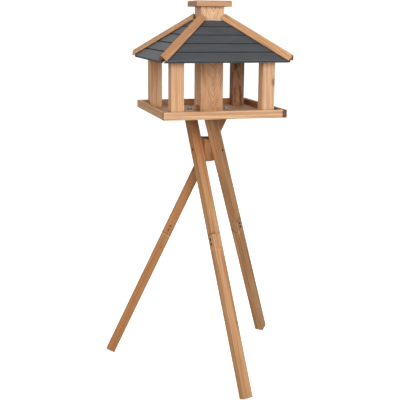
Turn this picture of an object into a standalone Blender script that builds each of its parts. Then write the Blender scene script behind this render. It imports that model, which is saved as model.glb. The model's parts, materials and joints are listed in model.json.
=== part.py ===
"""A wooden bird table: a square tray with a hipped roof on four posts, a seed silo that stands up through the
roof under a lift-off lid, and a tripod of three leaning legs around a hub block. Metres, +Z up, ground at z = 0.
The origin is on the ground, in the middle of the object's footprint."""

import math

import bmesh
import bpy
from mathutils import Matrix, Vector

# Clearances
GAP = 0.0003  # kept between two pieces that touch
HOLE_CLEARANCE = 0.0004  # from a bolt's shank to its hole, all round
PLUG_CLEARANCE = 0.0010  # from the lid's plug to the inside of the silo, each side
ROOF_CLEARANCE = 0.0015  # from the roof's top boards to the silo

# Tray
TRAY_SIZE = 0.430
TRAY_UNDERSIDE = 0.945  # height above the ground
RAIL_THICKNESS = 0.015
RAIL_HEIGHT = 0.027
FLOOR_THICKNESS = 0.006

# Posts and the plates along their tops
POST_SIZE = 0.044
POST_INSET = 0.019  # from the inside of a rail to a post's outer face
PLATE_THICKNESS = 0.018

# Seed silo
SILO_SIZE = 0.082
SILO_BOARD = 0.012
CHIMNEY_HEIGHT = 0.0382  # how far the silo stands up out of the roof
OUTLET_HEIGHT = 0.020

# Lid
LID_OVERHANG = 0.0215
LID_THICKNESS = 0.0198
LID_ROUNDING = 0.005
PLUG_THICKNESS = 0.012

# Roof
ROOF_PITCH = math.radians(36.2)
EAVE_RISE = 0.1875  # from the tray floor up to the boards' upper surface at the eave
EAVE_OVERHANG = 0.0112  # past the tray's rails
ROOF_BOARD = 0.010
COURSES = 5
GROOVE = 0.0022  # chamfer on each side of a joint between two roof boards
CORNER_CUT = 0.013  # taken off the eave's corners, along the diagonal

# Hip caps, a right-angled moulding over each hip
HIP_LEG = 0.027
HIP_THICKNESS = 0.005
HIP_END = 0.0065  # from the eave's corner up the hip to the cap's lower end

# Tripod
LEG_SIZE = 0.0345
LEG_TILT = math.radians(24.8)
TRIPOD_TURN = math.radians(-17.7)  # from the tray's left side
HUB_INRADIUS = 0.0265
HUB_HEIGHT = 0.082
HUB_DROP = 0.1325  # from the tray's underside down to the hub's middle and its bolts
HUB_CORNER = 0.036  # from the hub's axis to its blunted corners
HUB_ROUNDING = 0.004
LAP_DISTANCE = 0.338  # down a leg from the hub bolt to the middle of its lap joint
LAP_LENGTH = 0.050
LAP_BOLT_SPACING = 0.017

# Fasteners
SHANK_RADIUS = 0.003
HEAD_RADIUS = 0.0040
HEAD_HEIGHT = 0.0018
SOCKET_RADIUS = 0.0019
SOCKET_DEPTH = 0.0012
HUB_BOLT_REACH = 0.018  # how far a hub bolt goes into the hub
TRAY_BOLT_REACH = 0.022  # how far a tray bolt goes into a leg
NUT_WIDTH = 0.013
NUT_HEIGHT = 0.0065
WASHER_RADIUS = 0.009
WASHER_THICKNESS = 0.0016
STUD_HEIGHT = 0.0035  # how far the stud stands above its nut
STUD_CHAMFER = 0.0008
LOW_HEAD_RADIUS = 0.0085  # of the one tray bolt that has no nut standing up
LOW_HEAD_HEIGHT = 0.0028
TURNED_STEPS = 20

# Worked out from the sizes above
FLOOR_TOP = TRAY_UNDERSIDE + FLOOR_THICKNESS
POST_SPREAD = TRAY_SIZE - 2 * RAIL_THICKNESS - 2 * POST_INSET  # over the outer faces of two posts
SILO_HALF = SILO_SIZE / 2
ROOF_INNER = SILO_HALF + ROOF_CLEARANCE
ROOF_OUTER = TRAY_SIZE / 2 + EAVE_OVERHANG
ROOF_EAVE = FLOOR_TOP + EAVE_RISE
ROOF_TOP = ROOF_EAVE + (ROOF_OUTER - ROOF_INNER) * math.tan(ROOF_PITCH)
COURSE = (ROOF_OUTER - ROOF_INNER) / math.cos(ROOF_PITCH) / COURSES  # width of one roof board
SILO_TOP = ROOF_TOP + CHIMNEY_HEIGHT
LID_SIZE = SILO_SIZE + 2 * LID_OVERHANG
HIP_SLOPE = math.atan(math.tan(ROOF_PITCH) / math.sqrt(2))
HIP_FALL = math.acos(math.cos(ROOF_PITCH) / math.cos(HIP_SLOPE))  # of a roof side, measured across the hip
HUB_LEVEL = TRAY_UNDERSIDE - HUB_DROP
LEG_HALF = LEG_SIZE / 2
LEG_OFFSET = HUB_INRADIUS + GAP + LEG_HALF  # from the tripod's axis to a leg's middle
HOLE_RADIUS = SHANK_RADIUS + HOLE_CLEARANCE
LAP_TOP = -LAP_DISTANCE + LAP_LENGTH / 2
LAP_BOTTOM = -LAP_DISTANCE - LAP_LENGTH / 2
BIG = 0.2  # longer than any piece that a cutter is wider than

SIDES = ("front", "right", "back", "left")
CORNERS = ("front_left", "front_right", "back_right", "back_left")
LEGS = ("front", "right", "left")


# ---------------------------------------------------------------- scene, collections and materials


def clear_scene():
    for obj in list(bpy.data.objects):
        bpy.data.objects.remove(obj, do_unlink=True)


def new_collection(name):
    collection = bpy.data.collections.new(name)
    bpy.context.scene.collection.children.link(collection)
    return collection


def new_material(name, colour, roughness, metallic=0.0):
    material = bpy.data.materials.new(name)
    material.use_nodes = True
    shader = material.node_tree.nodes["Principled BSDF"]
    shader.inputs["Base Color"].default_value = (*colour, 1.0)
    shader.inputs["Roughness"].default_value = roughness
    shader.inputs["Metallic"].default_value = metallic
    material.diffuse_color = (*colour, 1.0)
    return material


clear_scene()
PARTS = new_collection("bird_table")
CUTTERS = new_collection("cutters")
WOOD = new_material("oiled_pine", (0.66, 0.40, 0.21), 0.6)
LEG_WOOD = new_material("oiled_pine_legs", (0.50, 0.27, 0.13), 0.6)
PAINT = new_material("anthracite_paint", (0.075, 0.082, 0.09), 0.65)
STEEL = new_material("zinc_plated_steel", (0.45, 0.44, 0.42), 0.35, 1.0)

AXIS = bpy.data.objects.new("silo_axis", None)  # the upright line through the silo and the tripod
PARTS.objects.link(AXIS)


# ---------------------------------------------------------------- modelling helpers


def cube(size, centre=(0, 0, 0)):
    """A bmesh of one box."""
    bm = bmesh.new()
    bmesh.ops.create_cube(bm, size=1.0)
    bmesh.ops.scale(bm, vec=size, verts=bm.verts)
    bmesh.ops.translate(bm, vec=centre, verts=bm.verts)
    return bm


def saw(bm, point, normal):
    """Cuts off what lies past the plane, on the side that its normal points to, and closes the cut."""
    everything = bm.verts[:] + bm.edges[:] + bm.faces[:]
    cut = bmesh.ops.bisect_plane(bm, geom=everything, plane_co=point, plane_no=normal, clear_outer=True)
    edges = [item for item in cut["geom_cut"] if isinstance(item, bmesh.types.BMEdge)]
    bmesh.ops.edgeloop_fill(bm, edges=edges)


def piece(name, bm, material, parent=AXIS, location=(0, 0, 0), rotation=(0, 0, 0)):
    """Makes the bmesh an object among the parts."""
    bmesh.ops.recalc_face_normals(bm, faces=bm.faces)
    mesh = bpy.data.meshes.new(name)
    bm.to_mesh(mesh)
    bm.free()
    mesh.materials.append(material)
    return add_object(name, mesh, PARTS, parent, location, rotation)


def add_object(name, data, collection, parent, location, rotation):
    obj = bpy.data.objects.new(name, data)
    collection.objects.link(obj)
    obj.parent = parent
    obj.location = location
    obj.rotation_euler = rotation
    return obj


def cutter(name, bm, parent=AXIS, location=(0, 0, 0), rotation=(0, 0, 0)):
    """Makes the bmesh a hidden object that Booleans cut or join with."""
    bmesh.ops.recalc_face_normals(bm, faces=bm.faces)
    mesh = bpy.data.meshes.new(name)
    bm.to_mesh(mesh)
    bm.free()
    obj = add_object(name, mesh, CUTTERS, parent, location, rotation)
    obj.hide_render = True
    obj.display_type = "WIRE"
    return obj


def boolean(obj, other, operation="DIFFERENCE"):
    modifier = obj.modifiers.new(other.name, "BOOLEAN")
    modifier.operation = operation
    modifier.object = other


def cylinder(radius, length, segments=TURNED_STEPS):
    bm = bmesh.new()
    bmesh.ops.create_cone(
        bm, cap_ends=True, segments=segments, radius1=radius, radius2=radius, depth=length
    )
    return bm


def turned(name, profile, parent, location, rotation):
    """A solid of revolution about local Z, from (radius, height) points that start and end on the axis."""
    mesh = bpy.data.meshes.new(name)
    points = [(radius, 0, height) for radius, height in profile]
    mesh.from_pydata(points, [(i, i + 1) for i in range(len(points) - 1)], [])
    mesh.materials.append(STEEL)
    obj = add_object(name, mesh, PARTS, parent, location, rotation)
    screw = obj.modifiers.new("turn", "SCREW")
    screw.steps = TURNED_STEPS
    screw.render_steps = TURNED_STEPS
    screw.use_merge_vertices = True
    screw.merge_threshold = 0.00002
    screw.use_smooth_shade = False
    return obj


def quarter_turn(index):
    return (0, 0, index * math.pi / 2)


# ---------------------------------------------------------------- tray


def build_tray():
    inside = TRAY_SIZE - 2 * RAIL_THICKNESS - 2 * GAP
    middle = (0, 0, TRAY_UNDERSIDE + FLOOR_THICKNESS / 2)
    floor = piece("tray_floor", cube((inside, inside, FLOOR_THICKNESS), middle), WOOD)
    # Each rail runs past the end of one neighbour and stops against the other.
    length = TRAY_SIZE - RAIL_THICKNESS - GAP
    size = (length, RAIL_THICKNESS, RAIL_HEIGHT)
    centre = (
        (length - TRAY_SIZE) / 2,
        (RAIL_THICKNESS - TRAY_SIZE) / 2,
        TRAY_UNDERSIDE + RAIL_HEIGHT / 2,
    )
    for index, side in enumerate(SIDES):
        piece(f"tray_rail_{side}", cube(size, centre), WOOD, rotation=quarter_turn(index))
    return floor


# ---------------------------------------------------------------- posts and plates


def roof_underside(distance):
    """Height of the roof boards' lower surface, this far out from the silo's axis."""
    surface = ROOF_EAVE + (ROOF_OUTER - distance) * math.tan(ROOF_PITCH)
    return surface - ROOF_BOARD / math.cos(ROOF_PITCH)


def build_posts():
    plate_top = roof_underside(POST_SPREAD / 2) - GAP
    plate_bottom = plate_top - PLATE_THICKNESS
    foot = FLOOR_TOP + GAP
    height = plate_bottom - GAP - foot
    reach = (POST_SPREAD - POST_SIZE) / 2
    for index, corner in enumerate(CORNERS):
        bm = cube((POST_SIZE, POST_SIZE, height), (-reach, -reach, foot + height / 2))
        piece(f"post_{corner}", bm, WOOD, rotation=quarter_turn(index))
    for side, turn in (("front", 0), ("back", 2)):
        centre = (0, -reach, (plate_top + plate_bottom) / 2)
        bm = cube((POST_SPREAD, POST_SIZE, PLATE_THICKNESS), centre)
        piece(f"post_plate_{side}", bm, WOOD, rotation=quarter_turn(turn))


# ---------------------------------------------------------------- silo and lid


def build_silo():
    foot = FLOOR_TOP + GAP
    offset = SILO_HALF - SILO_BOARD / 2
    for index, side in enumerate(SIDES):
        if side in ("front", "back"):
            width, bottom = SILO_SIZE, foot
        else:
            width, bottom = SILO_SIZE - 2 * SILO_BOARD - 2 * GAP, FLOOR_TOP + OUTLET_HEIGHT
        height = SILO_TOP - bottom
        bm = cube((width, SILO_BOARD, height), (0, -offset, bottom + height / 2))
        piece(f"silo_{side}_board", bm, WOOD, rotation=quarter_turn(index))


def build_lid():
    """The lid is two pieces that lift off together. Their origin is the middle of the silo's top."""
    seat = (0, 0, SILO_TOP + GAP)
    bm = cube((LID_SIZE, LID_SIZE, LID_THICKNESS), (0, 0, LID_THICKNESS / 2))
    top_edges = [edge for edge in bm.edges if all(vert.co.z > LID_THICKNESS / 2 for vert in edge.verts)]
    bmesh.ops.bevel(bm, geom=top_edges, offset=LID_ROUNDING, segments=3, profile=0.5, affect="EDGES")
    piece("lid_board", bm, WOOD, location=seat)
    width = SILO_SIZE - 2 * SILO_BOARD - 2 * PLUG_CLEARANCE
    bm = cube((width, width, PLUG_THICKNESS), (0, 0, -GAP - PLUG_THICKNESS / 2))
    piece("lid_plug", bm, WOOD, location=seat)


# ---------------------------------------------------------------- roof


def roof_board(course):
    """One board of the front side. Course 0 is at the eave."""
    width = COURSE - GAP
    bm = cube((2 * ROOF_OUTER, width, ROOF_BOARD))
    if course > 0:
        saw(bm, (0, -width / 2 + GROOVE, ROOF_BOARD / 2), (0, -1, 1))
    if course < COURSES - 1:
        saw(bm, (0, width / 2 - GROOVE, ROOF_BOARD / 2), (0, 1, 1))
    # From lying flat, the board is slid up to its course, tilted to the pitch and carried to the eave.
    slide = Matrix.Translation((0, (course + 0.5) * COURSE, -ROOF_BOARD / 2))
    eave = Matrix.Translation((0, -ROOF_OUTER, ROOF_EAVE))
    bm.transform(eave @ Matrix.Rotation(ROOF_PITCH, 4, "X") @ slide)
    for turn in (-1, 1):
        saw(bm, (-turn * GAP, 0, 0), (turn, 1, 0))
    if course == 0:
        corner = ROOF_OUTER - CORNER_CUT / math.sqrt(2)
        for turn in (-1, 1):
            saw(bm, (turn * corner, -corner, 0), (turn, -1, 0))
    if course == COURSES - 1:
        saw(bm, (0, -ROOF_INNER, 0), (0, 1, 0))
    return bm


def build_roof():
    for index, side in enumerate(SIDES):
        for course in range(COURSES):
            name = f"roof_{side}_board_{course + 1}"
            piece(name, roof_board(course), PAINT, rotation=quarter_turn(index))


def build_hip_caps():
    """The cap's outline is a right angle that straddles the hip, with its leg tips on the two roof sides."""
    out = Vector((-1, -1, 0)).normalized()
    up_hip = -out * math.cos(HIP_SLOPE) + Vector((0, 0, math.sin(HIP_SLOPE)))
    square = out * math.sin(HIP_SLOPE) + Vector((0, 0, math.cos(HIP_SLOPE)))
    across = square.cross(up_hip)
    tip = (HIP_LEG - HIP_THICKNESS) / math.sqrt(2)
    inner_apex = tip - tip * math.tan(HIP_FALL) + GAP / math.cos(HIP_FALL)
    apex = inner_apex + HIP_THICKNESS * math.sqrt(2)
    # How far up the hip the inner corner meets the silo's corner
    eave_corner = Vector((-ROOF_OUTER, -ROOF_OUTER, ROOF_EAVE))
    from_silo = eave_corner.to_2d().length + inner_apex * math.sin(HIP_SLOPE)
    upper_end = (from_silo - SILO_HALF * math.sqrt(2) - ROOF_CLEARANCE) / math.cos(HIP_SLOPE)
    length = upper_end - HIP_END

    half = HIP_THICKNESS / math.sqrt(2)
    reach = HIP_LEG / math.sqrt(2)
    outline = [
        (0, 0),
        (-reach, -reach),
        (-reach + half, -reach - half),
        (0, -2 * half),
        (reach - half, -reach - half),
        (reach, -reach),
    ]
    centre = eave_corner + square * apex + up_hip * (HIP_END + length / 2)
    place = Matrix((across, square, up_hip)).transposed().to_4x4()
    for index, corner in enumerate(CORNERS):
        name = f"hip_cap_{corner}"
        curve = bpy.data.curves.new(name, "CURVE")
        curve.dimensions = "2D"
        curve.fill_mode = "BOTH"
        curve.extrude = length / 2
        spline = curve.splines.new("POLY")
        spline.points.add(len(outline) - 1)
        for point, (x, y) in zip(spline.points, outline):
            point.co = (x, y, 0, 1)
        spline.use_cyclic_u = True
        curve.materials.append(WOOD)
        turn = Matrix.Rotation(index * math.pi / 2, 4, "Z")
        obj = add_object(name, curve, PARTS, AXIS, (0, 0, 0), (0, 0, 0))
        obj.matrix_local = turn @ Matrix.Translation(centre) @ place


# ---------------------------------------------------------------- tripod


def leg_heading(index):
    """The plan direction in which a leg runs outwards as it goes down."""
    return math.pi + TRIPOD_TURN + (index + 1) * 2 * math.pi / 3


def leg_frame(index):
    """An empty where a leg's middle line passes the hub: X out of the leg's outer face, Z up the leg."""
    turn = leg_heading(index) - math.pi / 2
    location = Matrix.Rotation(turn, 3, "Z") @ Vector((LEG_OFFSET, 0, 0))
    location.z = HUB_LEVEL
    frame = bpy.data.objects.new(f"leg_frame_{LEGS[index]}", None)
    PARTS.objects.link(frame)
    frame.parent = AXIS
    frame.location = location
    frame.rotation_euler = (LEG_TILT, 0, turn)
    return frame


def tray_bolt_place(index):
    """Where a leg's middle line meets the underside of the tray."""
    heading = leg_heading(index)
    along = Vector((math.cos(heading), math.sin(heading), 0))
    outward = Vector((along.y, -along.x, 0))
    inset = (TRAY_UNDERSIDE - HUB_LEVEL) * math.tan(LEG_TILT)
    place = outward * LEG_OFFSET - along * inset
    place.z = TRAY_UNDERSIDE
    return place


def build_hub():
    """A three-sided block with blunted corners. Its faces meet the legs' inner faces."""
    bm = cylinder(2 * HUB_INRADIUS, HUB_HEIGHT, segments=3)
    # The block's corners point straight between two legs.
    corners = sorted(math.atan2(vert.co.y, vert.co.x) for vert in bm.verts if vert.co.z > 0)
    face = leg_heading(0) - math.pi / 2
    bm.transform(Matrix.Rotation(face + math.pi / 3 - corners[0], 4, "Z"))
    for index in range(3):
        angle = face + math.pi / 3 + index * 2 * math.pi / 3
        normal = Vector((math.cos(angle), math.sin(angle), 0))
        saw(bm, normal * HUB_CORNER, normal)
    upright = [edge for edge in bm.edges if abs(edge.verts[0].co.z - edge.verts[1].co.z) > HUB_HEIGHT / 2]
    bmesh.ops.bevel(bm, geom=upright, offset=HUB_ROUNDING, segments=3, profile=0.5, affect="EDGES")
    return piece("hub_block", bm, LEG_WOOD, location=(0, 0, HUB_LEVEL))


def leg_half(name, frame, bottom, top, notch_from, notch_to, notch_side):
    """Half of a leg, with one side of its end cut away for the lap joint."""
    bm = cube((LEG_SIZE, LEG_SIZE, top - bottom), (0, 0, (top + bottom) / 2))
    half = piece(name, bm, LEG_WOOD, parent=frame)
    size = (BIG, BIG, notch_to - notch_from)
    centre = (notch_side * (BIG / 2 - GAP / 2), 0, (notch_to + notch_from) / 2)
    boolean(half, cutter(f"{name}_notch", cube(size, centre), parent=frame))
    return half


def build_leg(index, hub, floor):
    leg = LEGS[index]
    frame = leg_frame(index)
    rise = (TRAY_UNDERSIDE - HUB_LEVEL) / math.cos(LEG_TILT)
    foot = -(HUB_LEVEL - LEG_HALF * math.sin(LEG_TILT)) / math.cos(LEG_TILT)
    upper = leg_half(
        f"leg_{leg}_upper", frame, LAP_BOTTOM + GAP, rise + LEG_SIZE, LAP_BOTTOM - BIG, LAP_TOP, 1
    )
    lower = leg_half(
        f"leg_{leg}_lower", frame, foot, LAP_TOP - GAP, LAP_BOTTOM, LAP_TOP + BIG, -1
    )
    # The top end is cut level against the tray.
    level = cube((BIG, BIG, BIG), (0, 0, TRAY_UNDERSIDE - GAP + BIG / 2))
    place = tray_bolt_place(index)
    boolean(upper, cutter(f"leg_{leg}_level", level, location=(place.x, place.y, 0)))

    across = (0, math.pi / 2, 0)
    hole = cylinder(HOLE_RADIUS, 2 * (LEG_SIZE + HUB_BOLT_REACH))
    inner_end = -LEG_HALF - GAP - HUB_BOLT_REACH - HOLE_CLEARANCE
    middle = (inner_end + LEG_SIZE + HUB_BOLT_REACH, 0, 0)
    hub_hole = cutter(f"hub_hole_{leg}", hole, parent=frame, location=middle, rotation=across)
    boolean(upper, hub_hole)
    boolean(hub, hub_hole)
    build_hub_bolt(leg, frame, across)

    for number, spot in enumerate((LAP_BOLT_SPACING / 2, -LAP_BOLT_SPACING / 2)):
        centre = (0, 0, -LAP_DISTANCE + spot)
        name = f"{leg}_{'upper' if number == 0 else 'lower'}"
        hole = cylinder(HOLE_RADIUS, 2 * LEG_SIZE)
        lap_hole = cutter(f"lap_hole_{name}", hole, parent=frame, location=centre, rotation=across)
        boolean(upper, lap_hole)
        boolean(lower, lap_hole)
        build_lap_bolt(name, frame, centre, across)

    depth = TRAY_BOLT_REACH + HOLE_CLEARANCE
    hole = cylinder(HOLE_RADIUS, 2 * depth)
    tray_hole = cutter(f"tray_hole_{leg}", hole, location=place)
    boolean(upper, tray_hole)
    boolean(floor, tray_hole)
    build_tray_bolt(leg, place)


# ---------------------------------------------------------------- fasteners


def head_profile(seat):
    """The outside of a round head with a socket, from its axis down to its seat at this height."""
    top = seat + HEAD_HEIGHT
    return [
        (0, top - SOCKET_DEPTH),
        (SOCKET_RADIUS, top - SOCKET_DEPTH),
        (SOCKET_RADIUS, top),
        (HEAD_RADIUS * 0.72, top),
        (HEAD_RADIUS, seat + HEAD_HEIGHT * 0.4),
        (HEAD_RADIUS, seat),
        (SHANK_RADIUS, seat),
    ]


def build_hub_bolt(leg, frame, across):
    """A screw through the leg into the hub. Its head is on the leg's outer face."""
    tip = -LEG_HALF - GAP - HUB_BOLT_REACH
    profile = head_profile(LEG_HALF + GAP)
    profile += [(SHANK_RADIUS, tip + SHANK_RADIUS), (0, tip)]
    turned(f"hub_bolt_{leg}", profile, frame, (0, 0, 0), across)


def build_lap_bolt(name, frame, centre, across):
    """A bolt through both halves of a leg, with a round cap nut on the inner face."""
    profile = head_profile(LEG_HALF + GAP)
    nut = [(radius, -height) for radius, height in reversed(head_profile(LEG_HALF + GAP))]
    turned(f"lap_bolt_{name}", profile + nut, frame, centre, across)


def build_tray_bolt(leg, place):
    """A stud in the leg's top end that clamps the tray with a washer and a six-sided nut. The right leg's has a low
    round head instead, which stays below the rails."""
    washer = FLOOR_THICKNESS + GAP
    nut = washer + WASHER_THICKNESS
    top = nut + NUT_HEIGHT + STUD_HEIGHT
    shank = [
        (SHANK_RADIUS, washer),
        (SHANK_RADIUS, -TRAY_BOLT_REACH + SHANK_RADIUS),
        (0, -TRAY_BOLT_REACH),
    ]
    if leg == "right":
        head = [
            (0, washer + LOW_HEAD_HEIGHT),
            (LOW_HEAD_RADIUS * 0.6, washer + LOW_HEAD_HEIGHT),
            (LOW_HEAD_RADIUS, washer + LOW_HEAD_HEIGHT * 0.3),
            (LOW_HEAD_RADIUS, washer),
        ]
        turned(f"tray_bolt_{leg}", head + shank, AXIS, place, (0, 0, 0))
        return
    stud = [
        (0, top),
        (SHANK_RADIUS - STUD_CHAMFER, top),
        (SHANK_RADIUS, top - STUD_CHAMFER),
        (SHANK_RADIUS, nut),
        (WASHER_RADIUS, nut),
        (WASHER_RADIUS, washer),
    ]
    bolt = turned(f"tray_bolt_{leg}", stud + shank, AXIS, place, (0, 0, 0))
    sunk = WASHER_THICKNESS / 2  # the nut's lower end is inside the washer, so that the two become one
    bm = cylinder(NUT_WIDTH / math.sqrt(3), NUT_HEIGHT + sunk, segments=6)
    middle = place + Vector((0, 0, nut + (NUT_HEIGHT - sunk) / 2))
    boolean(bolt, cutter(f"tray_nut_{leg}", bm, location=middle), "UNION")


# ---------------------------------------------------------------- the whole object


def centre_footprint():
    """Moves everything so that the middle of the object's footprint is at the origin."""
    bpy.context.view_layer.update()
    corners = [
        obj.matrix_world @ Vector(corner)
        for obj in PARTS.objects
        if obj.type != "EMPTY"
        for corner in obj.bound_box
    ]
    for axis in (0, 1):
        low = min(corner[axis] for corner in corners)
        high = max(corner[axis] for corner in corners)
        AXIS.location[axis] = -(low + high) / 2
    bpy.context.view_layer.update()


def main():
    floor = build_tray()
    build_posts()
    build_silo()
    build_lid()
    build_roof()
    build_hip_caps()
    hub = build_hub()
    for index in range(len(LEGS)):
        build_leg(index, hub, floor)
    centre_footprint()


main()
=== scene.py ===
"""The looks of a wooden bird table: every timber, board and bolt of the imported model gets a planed,
softened and grained piece in its place. Metres, +Z up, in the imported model's own frame."""

import json
import math

import bpy
import numpy as np
from mathutils import Matrix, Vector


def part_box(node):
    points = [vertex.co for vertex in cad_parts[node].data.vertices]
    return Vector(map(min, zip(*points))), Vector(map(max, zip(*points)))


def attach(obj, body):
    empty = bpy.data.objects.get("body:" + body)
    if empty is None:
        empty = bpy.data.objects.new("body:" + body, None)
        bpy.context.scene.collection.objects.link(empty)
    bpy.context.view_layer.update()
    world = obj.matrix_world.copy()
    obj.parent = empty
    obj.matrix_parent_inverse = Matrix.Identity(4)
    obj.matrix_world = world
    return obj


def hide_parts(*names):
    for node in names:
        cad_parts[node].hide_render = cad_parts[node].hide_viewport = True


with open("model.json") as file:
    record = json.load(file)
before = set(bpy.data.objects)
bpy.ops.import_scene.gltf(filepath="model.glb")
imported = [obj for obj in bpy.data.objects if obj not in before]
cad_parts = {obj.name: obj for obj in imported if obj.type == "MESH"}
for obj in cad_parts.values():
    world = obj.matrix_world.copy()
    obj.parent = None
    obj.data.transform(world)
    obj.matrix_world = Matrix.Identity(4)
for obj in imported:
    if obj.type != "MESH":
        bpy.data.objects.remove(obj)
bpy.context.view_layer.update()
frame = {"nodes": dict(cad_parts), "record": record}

# ---------------------------------------------------------------- sizes of the design

ROOF_PITCH = math.radians(36.2)
ROOF_BOARD = 0.010
ROOF_INNER = 0.0425  # from the silo's axis to the top boards
ROOF_OUTER = 0.2262  # from the silo's axis to the eave
COURSES = 5
GAP = 0.0003  # between two pieces that touch
JOINT_CHAMFER = 0.0024
EAVE_CORNER_CUT = 0.013
HIP_LEG = 0.027
HIP_THICKNESS = 0.005
LEG_TILT = math.radians(24.8)
LEG_HEADINGS = {"front": 282.3, "right": 42.3, "left": 162.3}  # downwards and outwards, in degrees
HUB_INRADIUS = 0.0265
HUB_CORNER = 0.036
HEAD_RADIUS = 0.004
HEAD_HEIGHT = 0.0018
BARE_STRIP = 0.0120  # unpainted, along the top of the uppermost roof boards
SLOT_HALF = 0.0012  # half the slot that shows between two roof boards
SLOT_DEPTH = 0.0062

# How far the arrises of each kind of piece are softened
ARRIS = 0.0014
FINE_ARRIS = 0.0007
END_ARRIS = 0.0009
ARC_STEPS = 4
WEAR_BAND = 0.0012  # flat strip next to each softened arris that keeps the shading true
UNEVENNESS = 0.00012  # depth of the plane's marks, always into the wood

SIDES = ("front", "right", "back", "left")
CORNERS = ("front_left", "front_right", "back_right", "back_left")
LEGS = ("front", "right", "left")
X, Y, Z = np.eye(3)
UP = Z
rng = np.random.default_rng(37)


def middle(node):
    low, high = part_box(node)
    return (np.array(low) + np.array(high)) / 2


SILO_AXIS = middle("lid_board") * (1, 1, 0)
FLOOR_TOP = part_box("tray_floor")[1].z
HUB_LEVEL = middle("hub_block")[2]


# ---------------------------------------------------------------- directions


def unit(vector):
    vector = np.asarray(vector, float)
    return vector / np.linalg.norm(vector)


def axes(across, through):
    """Three unit directions as rows: across the face, through the thickness, and along the piece, which
    is at right angles to both."""
    across, through = unit(across), unit(through)
    return np.array([across, through, np.cross(across, through)])


def quarter_turns(index):
    """Rows that turn a point of the front side to side number index, anticlockwise from above."""
    angle = index * math.pi / 2
    c, s = round(math.cos(angle)), round(math.sin(angle))
    return np.array([[c, -s, 0], [s, c, 0], [0, 0, 1]], float)


def points_of(node, directions, origin):
    """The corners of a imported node, measured from origin along the three directions."""
    data = frame["nodes"][node].data
    flat = np.empty(len(data.vertices) * 3, np.float32)
    data.vertices.foreach_get("co", flat)
    return (flat.reshape(-1, 3) - origin) @ directions.T


# ---------------------------------------------------------------- surfaces


def softened(corners, radius, flats=5):
    """An anticlockwise outline with every corner turned into a circular arc that touches both its sides.
    Corner k's arc turns from the outward direction of side k - 1 to that of side k, about a centre set
    back from the corner by the radius over one plus the cosine of the turn, along the sum of both
    directions. On each side the flat run starts and ends with a narrow strip, and is divided evenly
    between. Returns points and outward directions, going round once."""
    corners = np.asarray(corners, float)
    radius = np.broadcast_to(np.asarray(radius, float), len(corners))[:, None]
    side = np.roll(corners, -1, 0) - corners
    side /= np.linalg.norm(side, axis=1, keepdims=True)
    out = np.stack([side[:, 1], -side[:, 0]], 1)
    before = np.roll(out, 1, 0)
    turn = np.arctan2(before[:, 0] * out[:, 1] - before[:, 1] * out[:, 0], (before * out).sum(1))
    bend = np.sign(turn)[:, None]
    cosine = (before * out).sum(1, keepdims=True)
    centre = corners - bend * radius * (before + out) / (1 + cosine)
    start = np.arctan2(before[:, 1], before[:, 0])
    angle = start[:, None] + turn[:, None] * np.linspace(0, 1, ARC_STEPS + 1)
    arc_out = np.stack([np.cos(angle), np.sin(angle)], 2)
    arc = centre[:, None] + (bend * radius)[:, None] * arc_out

    first, last = arc[:, -1], np.roll(arc[:, 0], -1, 0)
    run = last - first
    length = np.linalg.norm(run, axis=1, keepdims=True)
    strip = np.minimum(WEAR_BAND / length, 0.2)
    share = strip + (1 - 2 * strip) * np.linspace(0, 1, flats)
    flat = first[:, None] + run[:, None] * share[:, :, None]
    flat_out = np.broadcast_to(out[:, None], flat.shape)
    points = np.concatenate([arc, flat], 1).reshape(-1, 2)
    return points, np.concatenate([arc_out, flat_out], 1).reshape(-1, 2)


def rectangle(low, high):
    return [(low[0], low[1]), (high[0], low[1]), (high[0], high[1]), (low[0], high[1])]


def stations(length, radius, spacing=0.012):
    """Where the rings of a piece lie: a quarter circle in at each end, a narrow strip, and an even run
    between. Returns the share of the way from one end to the other, an offset in metres and an inset in
    metres."""
    angle = np.linspace(0.15, 1, ARC_STEPS) * math.pi / 2
    depth = radius * (1 - np.cos(angle))
    inset = radius * (1 - np.sin(angle))
    depth, inset = np.append(depth, radius + WEAR_BAND), np.append(inset, 0.0)
    count = max(3, int(round(length / spacing)))
    run = np.linspace(0, 1, count + 1)[1:-1]
    share = np.concatenate([np.zeros(len(depth)), run, np.ones(len(depth))])
    offset = np.concatenate([depth, np.zeros(len(run)), -depth[::-1]])
    inset = np.concatenate([inset, np.zeros(len(run)), inset[::-1]])
    return share, offset, inset


def carried(outline, ends, radius, spacing=0.012):
    """A softened outline carried in a straight line from one end plane to the other. At each station the
    outline moves inwards by the station's inset, and each point lies at its share of the way between the
    two ends' heights at that point. Faces are dented by a slow sum of sines, never swollen. Returns rings
    of local points."""
    points, out = outline
    low_end, high_end = ends(points[:, 0], points[:, 1])
    share, offset, inset = stations(np.mean(high_end - low_end), radius, spacing)
    phase = rng.uniform(0, 2 * math.pi, 4)
    along = share * np.mean(high_end - low_end)
    around = np.arange(len(points)) / len(points) * 2 * math.pi
    wave = np.sin(along[:, None] * 61 + phase[0] + np.sin(around + phase[1]))
    wave = wave + np.sin(along[:, None] * 143 + 2 * around + phase[2]) + np.sin(3 * around + phase[3])
    dent = UNEVENNESS * (wave + 3) / 6
    section = points - out * (inset[:, None, None] + dent[:, :, None])
    height = low_end * (1 - share[:, None]) + high_end * share[:, None] + offset[:, None]
    return np.concatenate([section, height[:, :, None]], 2)


def level_ends(low, high):
    """Both ends cut square."""
    return lambda x, y: (np.full_like(x, low), np.full_like(x, high))


# ---------------------------------------------------------------- pieces


def body_of(node):
    return next(body for body, nodes in frame["record"]["behaviour"]["bodies"].items() if node in nodes)


def store(mesh, name, kind, values):
    """Keeps one value for each point of the mesh: a number or a direction."""
    attribute = mesh.attributes.new(name, kind, "POINT")
    field = "vector" if kind == "FLOAT_VECTOR" else "value"
    attribute.data.foreach_set(field, np.ascontiguousarray(values, np.float32).ravel())


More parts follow.
